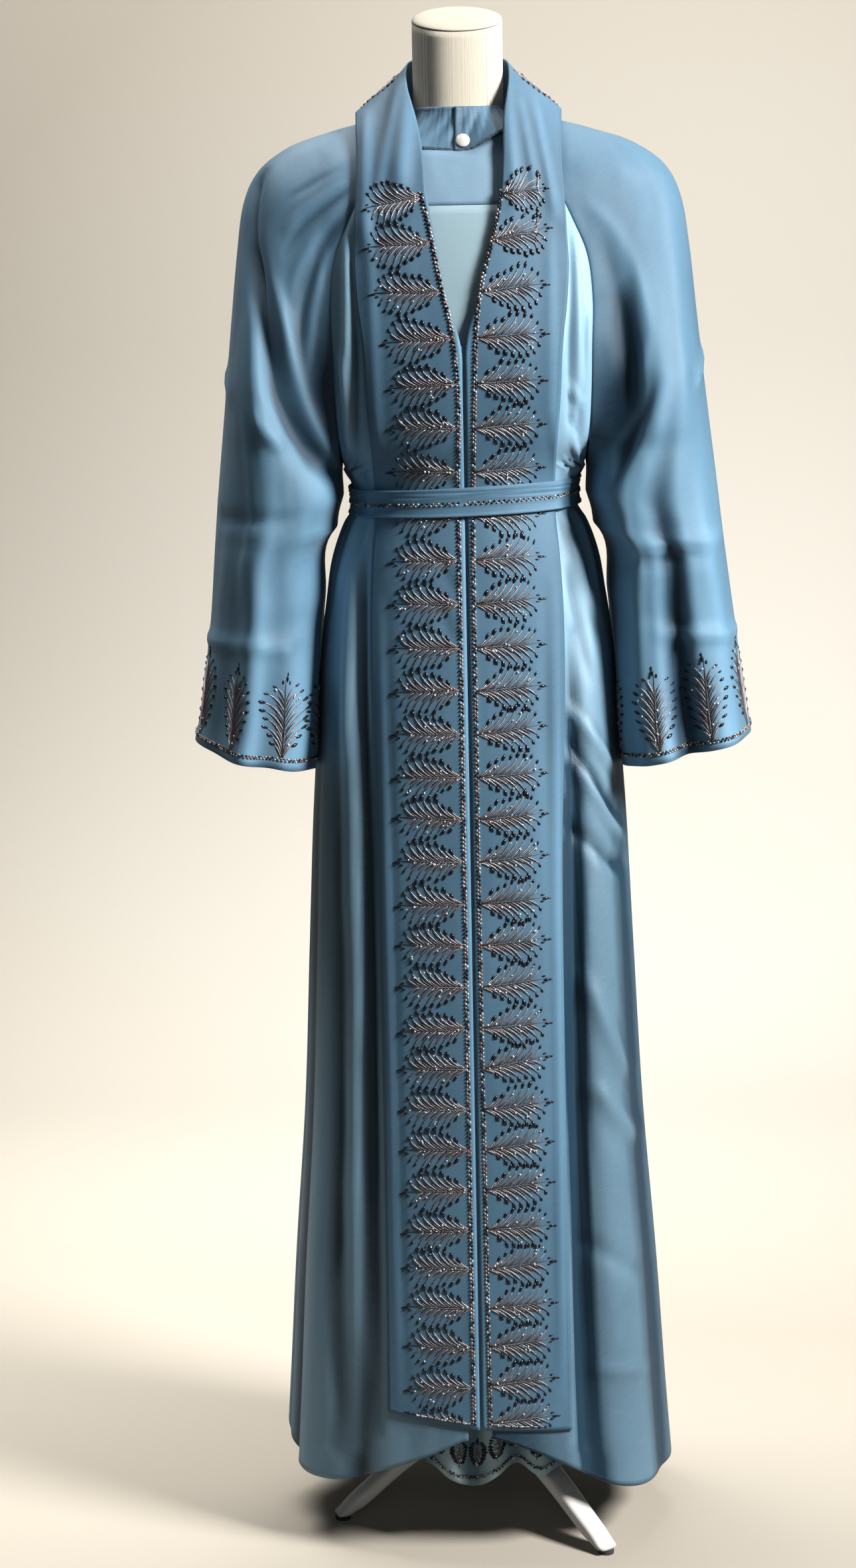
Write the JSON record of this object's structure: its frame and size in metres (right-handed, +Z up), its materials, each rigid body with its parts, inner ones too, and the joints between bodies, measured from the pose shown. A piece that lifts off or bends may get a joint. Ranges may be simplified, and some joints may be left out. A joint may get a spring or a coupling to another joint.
{
  "type": "abaya cloak on dress form",
  "caption": "Floor-length satin abaya cloak with wide batwing sleeves, a wide embroidered front band and a narrow belt, worn on a limbless dress form with a tripod stand.",
  "frame": {"origin": "on the floor under the middle of the whole object", "axes": "+Z up; the front of the cloak faces -Y; +X is the wearer's left"},
  "size_m": [0.602, 0.348, 1.6508],
  "materials": {
    "satin": "blue satin, soft sheen",
    "matte_crepe": "matte blue crepe",
    "pearl": "pearly gloss",
    "form_linen": "cream woven cover",
    "white_wood": "white painted wood",
    "steel": "plain steel tube",
    "rubber": "matt black rubber"
  },
  "bodies": {
    "root": {"back": "satin", "front_right": "satin", "front_left": "satin", "sleeve_right_front": "satin", "sleeve_right_back": "satin", "sleeve_left_front": "satin", "sleeve_left_back": "satin", "band_right": "satin", "band_left": "satin", "inset_front": "matte_crepe", "inset_yoke": "satin", "stand_collar": "satin", "collar_button": "pearl", "belt": "satin", "form_torso": "form_linen", "form_neck": "form_linen", "form_neck_cap": "form_linen", "stand_pole": "steel", "stand_hub": "white_wood", "stand_leg_front_left": "white_wood", "stand_leg_front_right": "white_wood", "stand_leg_rear": "white_wood", "stand_pad_front_left": "rubber", "stand_pad_front_right": "rubber", "stand_pad_rear": "rubber"}
  },
  "joints": []
}
